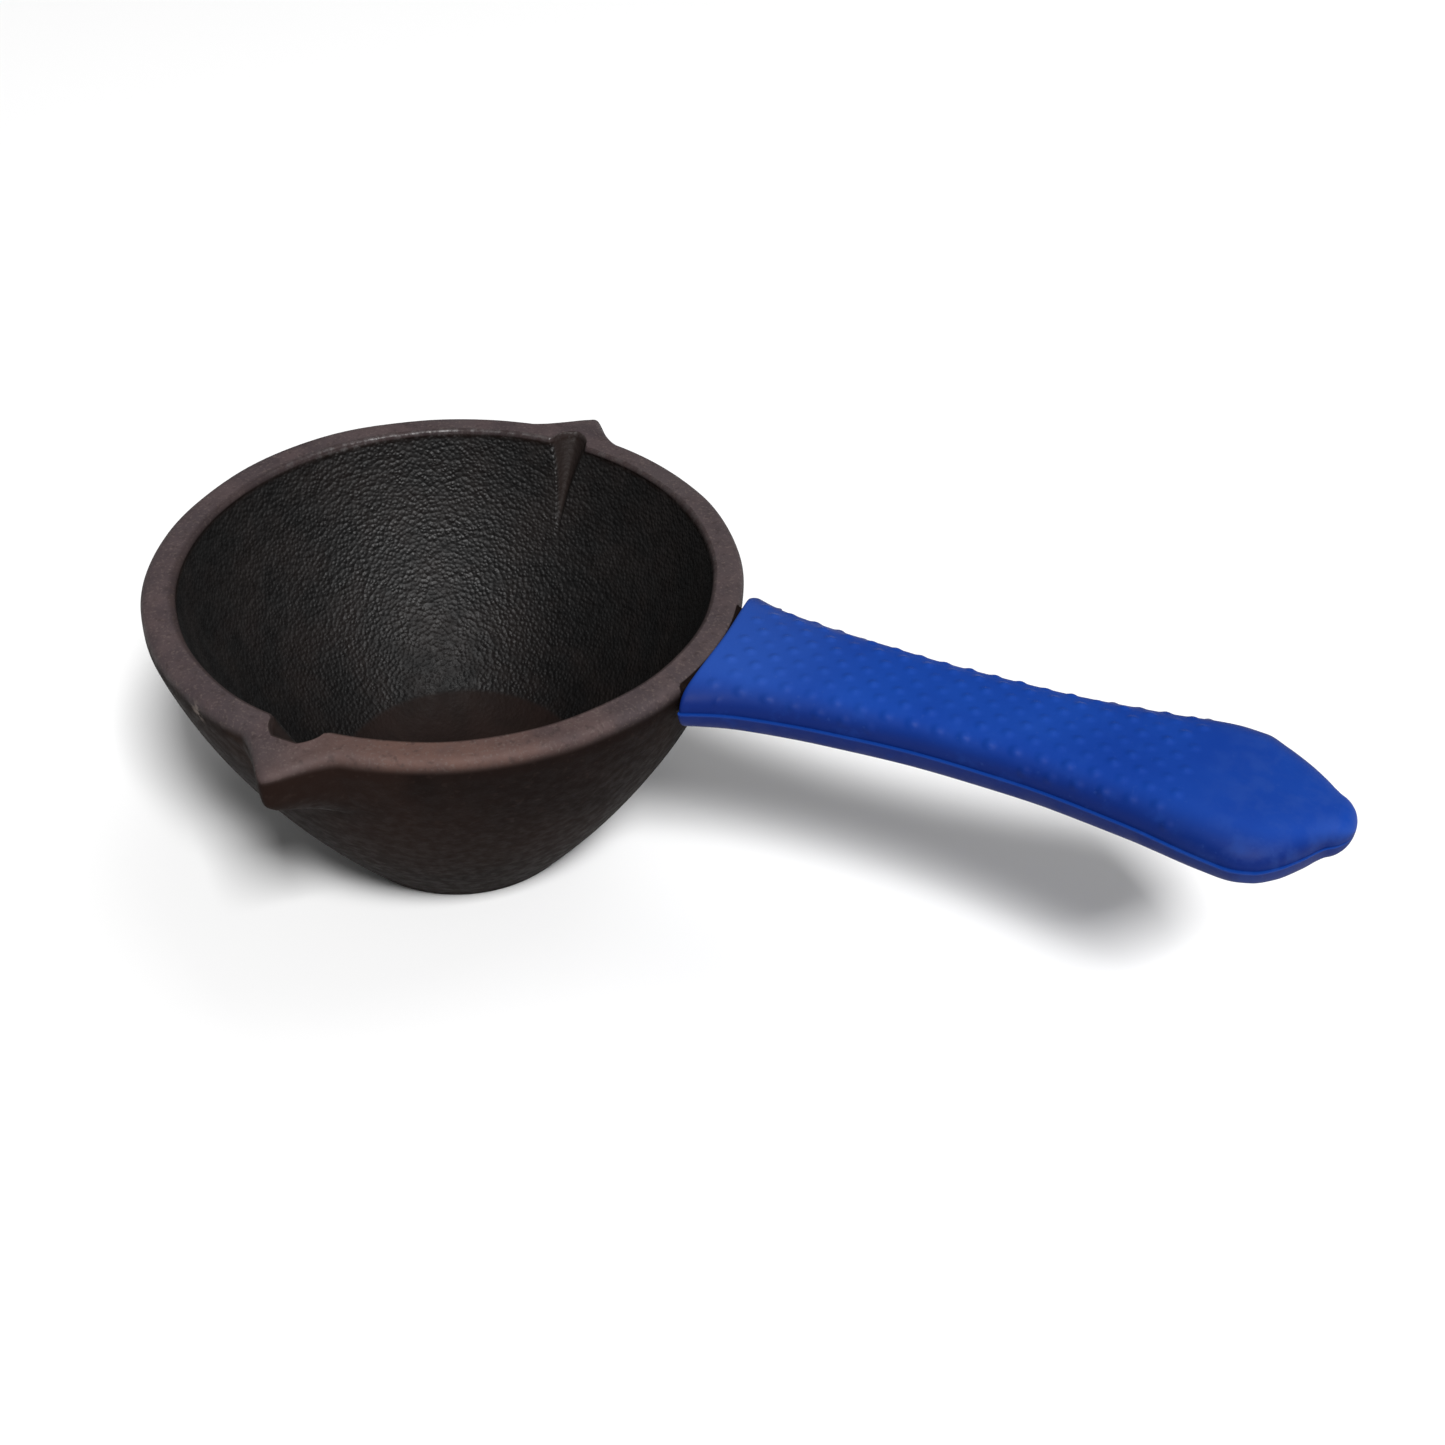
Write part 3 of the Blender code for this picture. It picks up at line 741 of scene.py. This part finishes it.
def silicone_material():
    n = Nodes("blue_silicone")
    dot, rnd = n.attribute("dot"), n.attribute("round")
    cloud = n.noise(38.0, 3.0, 0.5)
    film = n.noise(210.0, 4.0, 0.6)
    dust = n.noise(900.0, 2.0, 0.5)
    base = n.mix(n.ramp(cloud, 0.32, 0.70), (0.0022, 0.0310, 0.2300), (0.0044, 0.0420, 0.2700))
    # painted highlight: the raised dots are a little lighter than the blue around them
    base = n.mix(n.math("MULTIPLY", dot, 0.10), base, (0.020, 0.080, 0.360))
    # painted highlight: the parting-line ledge stays bright, and the painted side shade below leaves it out
    base = n.mix(n.math("MULTIPLY", n.attribute("ledge"), 0.5), base, (0.005, 0.038, 0.205))
    # painted shade: the sides of the crown and the whole lower half are a darker blue
    side = n.math("MULTIPLY", n.ramp(rnd, 0.52, 0.92), 0.84)
    side = n.math("ADD", side, n.ramp(rnd, 1.2, 1.9, 0.0, 0.06))
    base = n.mix(n.math("MULTIPLY", side, n.math("SUBTRACT", 1.0, n.attribute("ledge"))), base, (0.0010, 0.0088, 0.0880))
    base = n.mix(n.math("MULTIPLY", n.ramp(n.axis(0), 0.098, 0.062, 0.0, 0.30), n.ramp(rnd, 0.95, 0.45)), base, (0.034, 0.088, 0.330))
    palm = n.ramp(n.axis(0), 0.150, 0.168, 0.0, 0.13)
    base = n.mix(n.math("MULTIPLY", palm, n.ramp(film, 0.42, 0.62)), base, (0.040, 0.085, 0.280))
    base = n.mix(n.ramp(dust, 0.66, 0.80, 0.0, 0.12), base, (0.050, 0.105, 0.330))
    base = n.mix(n.ramp(film, 0.55, 0.75, 0.0, 0.14), base, (0.014, 0.060, 0.290))
    n.link(base, n.shader.inputs["Base Color"])
    rough = n.ramp(film, 0.30, 0.72, 0.50, 0.66)
    n.link(n.math("SUBTRACT", rough, n.math("MULTIPLY", dot, 0.06)), n.shader.inputs["Roughness"])
    n.shader.inputs["Specular IOR Level"].default_value = 0.10
    n.shader.inputs["Subsurface Weight"].default_value = 0.0
    height = n.math("ADD", n.math("MULTIPLY", n.noise(1400.0, 2.0, 0.5), 0.5), n.math("MULTIPLY", film, 0.8))
    n.link(n.bump(height, 0.00010, 0.45), n.shader.inputs["Normal"])
    return n.material


pot = make_pot()
sleeve = make_sleeve()
pot.data.materials.clear()
pot.data.materials.append(iron_material())
sleeve.data.materials.clear()
sleeve.data.materials.append(silicone_material())
for piece, angle in ((pot, 50), (sleeve, 55)):
    piece.data.polygons.foreach_set("material_index", [0] * len(piece.data.polygons))
    piece.data.polygons.foreach_set("use_smooth", [True] * len(piece.data.polygons))
    piece.data.set_sharp_from_angle(angle=radians(angle))
    piece.data.update()

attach(pot, "pot")
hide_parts("cast_iron_pot")
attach(sleeve, "sleeve")
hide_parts("silicone_handle_sleeve")

# ---------------------------------------------------------------- floor, light and camera
floor_mesh = bpy.data.meshes.new("studio_floor")
size = 6.0
floor_mesh.from_pydata(
    [(-size, -size, 0), (size, -size, 0), (size, size, 0), (-size, size, 0)], [], [(0, 1, 2, 3)]
)
studio_floor = bpy.data.objects.new("studio_floor", floor_mesh)
bpy.context.scene.collection.objects.link(studio_floor)
paper = bpy.data.materials.new("pale_floor")
paper.use_nodes = True
paper_shader = paper.node_tree.nodes["Principled BSDF"]
paper_shader.inputs["Base Color"].default_value = (0.86, 0.86, 0.86, 1)
paper_shader.inputs["Roughness"].default_value = 0.9
paper_shader.inputs["Specular IOR Level"].default_value = 0.1
floor_mesh.materials.append(paper)

world = bpy.data.worlds.new("studio")
bpy.context.scene.world = world
world.use_nodes = True
back = world.node_tree.nodes["Background"]
back.inputs["Color"].default_value = (1.0, 1.0, 1.0, 1)
back.inputs["Strength"].default_value = 0.17


def softbox(name, at, to, width, height, power, colour=(1, 1, 1)):
    data = bpy.data.lights.new(name, "AREA")
    data.shape = "RECTANGLE"
    data.size, data.size_y = width, height
    data.energy = power
    data.color = colour
    obj = bpy.data.objects.new(name, data)
    bpy.context.scene.collection.objects.link(obj)
    z = np.array(at, float) - np.array(to, float)
    z /= np.linalg.norm(z)
    x = np.cross((0, 0, 1), z)
    if np.linalg.norm(x) < 1e-6:
        x = np.array((1.0, 0, 0))
    x /= np.linalg.norm(x)
    y = np.cross(z, x)
    m = Matrix(((x[0], y[0], z[0], at[0]), (x[1], y[1], z[1], at[1]), (x[2], y[2], z[2], at[2]), (0, 0, 0, 1)))
    obj.matrix_world = m
    return obj


softbox("key", (1.90, -2.05, 3.60), (0.04, 0.0, 0.03), 1.00, 1.00, 255.0)
softbox("top", (0.75, 1.15, 2.90), (0.04, 0.0, 0.03), 2.2, 2.2, 24.0)

view = bpy.context.scene.view_settings
view.view_transform = "Standard"
view.look = "None"
view.exposure = 0.0
view.gamma = 1.0


def aimed_camera():
    """The camera, from its azimuth, elevation and roll, with the bowl's rim at its place in the frame."""
    az, el, roll = radians(22.1508), radians(39.0253), radians(1.2565)
    focal, distance = 2202.67, 7.41845 * 0.06
    middle = 722.5
    u, v = 446.42, 570.62
    back_to = np.array([sin(az) * cos(el), -cos(az) * cos(el), sin(el)])
    right = np.array([cos(az), sin(az), 0.0])
    up = np.cross(back_to, right)
    r2 = right * cos(roll) + up * sin(roll)
    u2 = -right * sin(roll) + up * cos(roll)
    rows = np.array([r2, u2, back_to])
    ray = np.array([(u - middle) / focal, -(v - middle) / focal, -1.0]) * distance
    at = -rows.T @ ray + np.array([0, 0, H * MM])
    data = bpy.data.cameras.new("photo_view")
    data.sensor_width = 36.0
    data.lens = focal / 1445.0 * 36.0
    data.clip_start, data.clip_end = 0.02, 50.0
    obj = bpy.data.objects.new("photo_view", data)
    bpy.context.scene.collection.objects.link(obj)
    cols = rows.T
    obj.matrix_world = Matrix(
        [[float(cols[i][0]), float(cols[i][1]), float(cols[i][2]), float(at[i])] for i in range(3)]
        + [[0, 0, 0, 1]]
    )
    return obj


bpy.context.scene.camera = aimed_camera()
